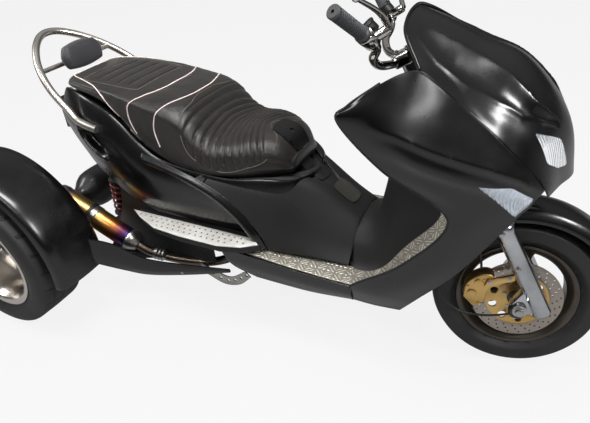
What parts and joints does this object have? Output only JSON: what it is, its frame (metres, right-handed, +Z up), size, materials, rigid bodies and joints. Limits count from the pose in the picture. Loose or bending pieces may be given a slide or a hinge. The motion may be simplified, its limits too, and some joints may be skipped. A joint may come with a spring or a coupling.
{
  "type": "motorized trike",
  "caption": "Motor scooter with one steered front wheel and a wide rear axle under separate fenders, a stepped quilted seat, a high handlebar, a screen, a footboard and a backrest loop.",
  "frame": {"origin": "middle of the footprint, on the floor under the tyres", "axes": "+X forward along the vehicle, +Y to its left, +Z up"},
  "size_m": [2.2772, 1.15, 1.1177],
  "materials": {
    "aluminium_plate": "satin rolled plate",
    "black_leather": "quilted grain leather with pale piping",
    "burnt_titanium": "heat tinted titanium sleeve",
    "chassis_black": "satin black paint",
    "chrome_plate": "mirror plating",
    "clear_lens": "clear polycarbonate lens",
    "gloss_black_paint": "high gloss black lacquer",
    "gold_anodised": "gold anodised",
    "matte_black_plastic": "fine moulded grain",
    "red_lens": "moulded red lens",
    "red_spring_paint": "gloss red enamel on the springs",
    "rim_grey_brown": "satin lacquer on cast alloy",
    "rim_silver": "polished lip, satin dish",
    "steel": "brushed",
    "tyre_rubber": "vulcanised rubber"
  },
  "bodies": {
    "vehicle": {"backrest_pad": "black_leather", "checker_plate_left": "aluminium_plate", "checker_plate_right": "aluminium_plate", "engine_block": "chassis_black", "exhaust_pipe": "steel", "flasher_left": "clear_lens", "flasher_right": "clear_lens", "footboard": "matte_black_plastic", "front_cowl_left": "gloss_black_paint", "front_cowl_right": "gloss_black_paint", "grab_rail": "chrome_plate", "headlight_left": "clear_lens", "headlight_right": "clear_lens", "hood_and_screen": "gloss_black_paint", "leg_shield": "matte_black_plastic", "lower_skirt_left": "gloss_black_paint", "lower_skirt_right": "gloss_black_paint", "luggage_box": "matte_black_plastic", "main_frame": "chassis_black", "pillion_step_left": "aluminium_plate", "pillion_step_right": "aluminium_plate", "rear_axle": "chassis_black", "rear_fender_left": "gloss_black_paint", "rear_fender_right": "gloss_black_paint", "shock_left": "red_spring_paint", "shock_right": "red_spring_paint", "side_cowl_left": "gloss_black_paint", "side_cowl_right": "gloss_black_paint", "silencer": "burnt_titanium", "swing_arm": "chassis_black", "tail_cowl": "gloss_black_paint", "tail_lamp": "red_lens", "under_bracket": "aluminium_plate"},
    "steering": {"brake_caliper": "gold_anodised", "brake_hose": "matte_black_plastic", "fork": "aluminium_plate", "front_fender": "gloss_black_paint", "grip_left": "tyre_rubber", "grip_right": "tyre_rubber", "handlebar": "chrome_plate", "speedometer_cable": "matte_black_plastic"},
    "front_wheel": {"front_disc": "steel", "front_rim": "rim_grey_brown", "front_tyre": "tyre_rubber"},
    "rear_wheel_right": {"rear_rim_right": "rim_silver", "rear_tyre_right": "tyre_rubber"},
    "rear_wheel_left": {"rear_rim_left": "rim_silver", "rear_tyre_left": "tyre_rubber"},
    "seat": {"seat_cushion": "black_leather", "seat_pan": "matte_black_plastic"}
  },
  "joints": [
    {"name": "steer", "type": "hinge", "parent": "vehicle", "child": "steering", "pos_m": [0.84501, 0, 0.238], "axis": [-0.454, 0, 0.891], "range_deg": [-50, 20]},
    {"name": "front_wheel_roll", "type": "hinge", "parent": "steering", "child": "front_wheel", "pos_m": [0.86545, 0.00484, 0.23771], "axis": [-0.2306, 0.9659, -0.1175], "continuous": true},
    {"name": "rear_wheel_right_roll", "type": "hinge", "parent": "vehicle", "child": "rear_wheel_right", "pos_m": [-0.79199, -0.482, 0.276], "axis": [0, 1, 0], "continuous": true},
    {"name": "rear_wheel_left_roll", "type": "hinge", "parent": "vehicle", "child": "rear_wheel_left", "pos_m": [-0.79199, 0.482, 0.276], "axis": [0, 1, 0], "continuous": true},
    {"name": "seat_lift", "type": "hinge", "parent": "vehicle", "child": "seat", "pos_m": [0.21101, 0, 0.525], "axis": [0, 1, 0], "range_deg": [0, 65]}
  ]
}
